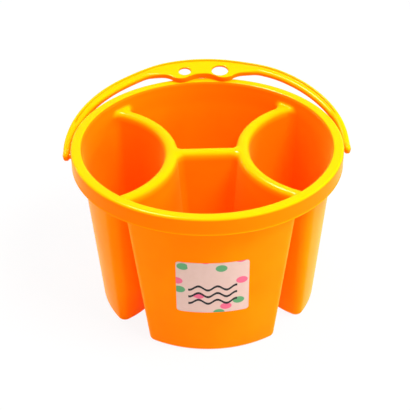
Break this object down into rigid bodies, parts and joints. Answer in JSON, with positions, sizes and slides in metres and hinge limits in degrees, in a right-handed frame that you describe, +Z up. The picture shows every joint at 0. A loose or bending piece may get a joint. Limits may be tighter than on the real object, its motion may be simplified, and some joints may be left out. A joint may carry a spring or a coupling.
{
  "type": "compartment bucket",
  "caption": "Round moulded plastic bucket whose hollow dividers part it into tapered cups, with a swinging bail handle that has finger lobes and brush holes, and a front label.",
  "frame": {"origin": "on the floor that the bucket stands on, under the middle of its rim", "axes": "+Z up; +X along the bail's pivot axis, to the right as seen from the labelled front; +Y away from the labelled front"},
  "size_m": [0.1844, 0.1873, 0.1207],
  "materials": {
    "orange_plastic": "glossy moulded polypropylene",
    "label_film": "printed self-adhesive film"
  },
  "bodies": {
    "bucket": {"bucket_body": "orange_plastic", "label": "label_film"},
    "handle": {"bail_handle": "orange_plastic"}
  },
  "joints": [
    {"name": "bail_swing", "type": "hinge", "parent": "bucket", "child": "handle", "pos_m": [0, 0, 0.1039], "axis": [1, 0, 0], "range_deg": [0, 164]}
  ]
}
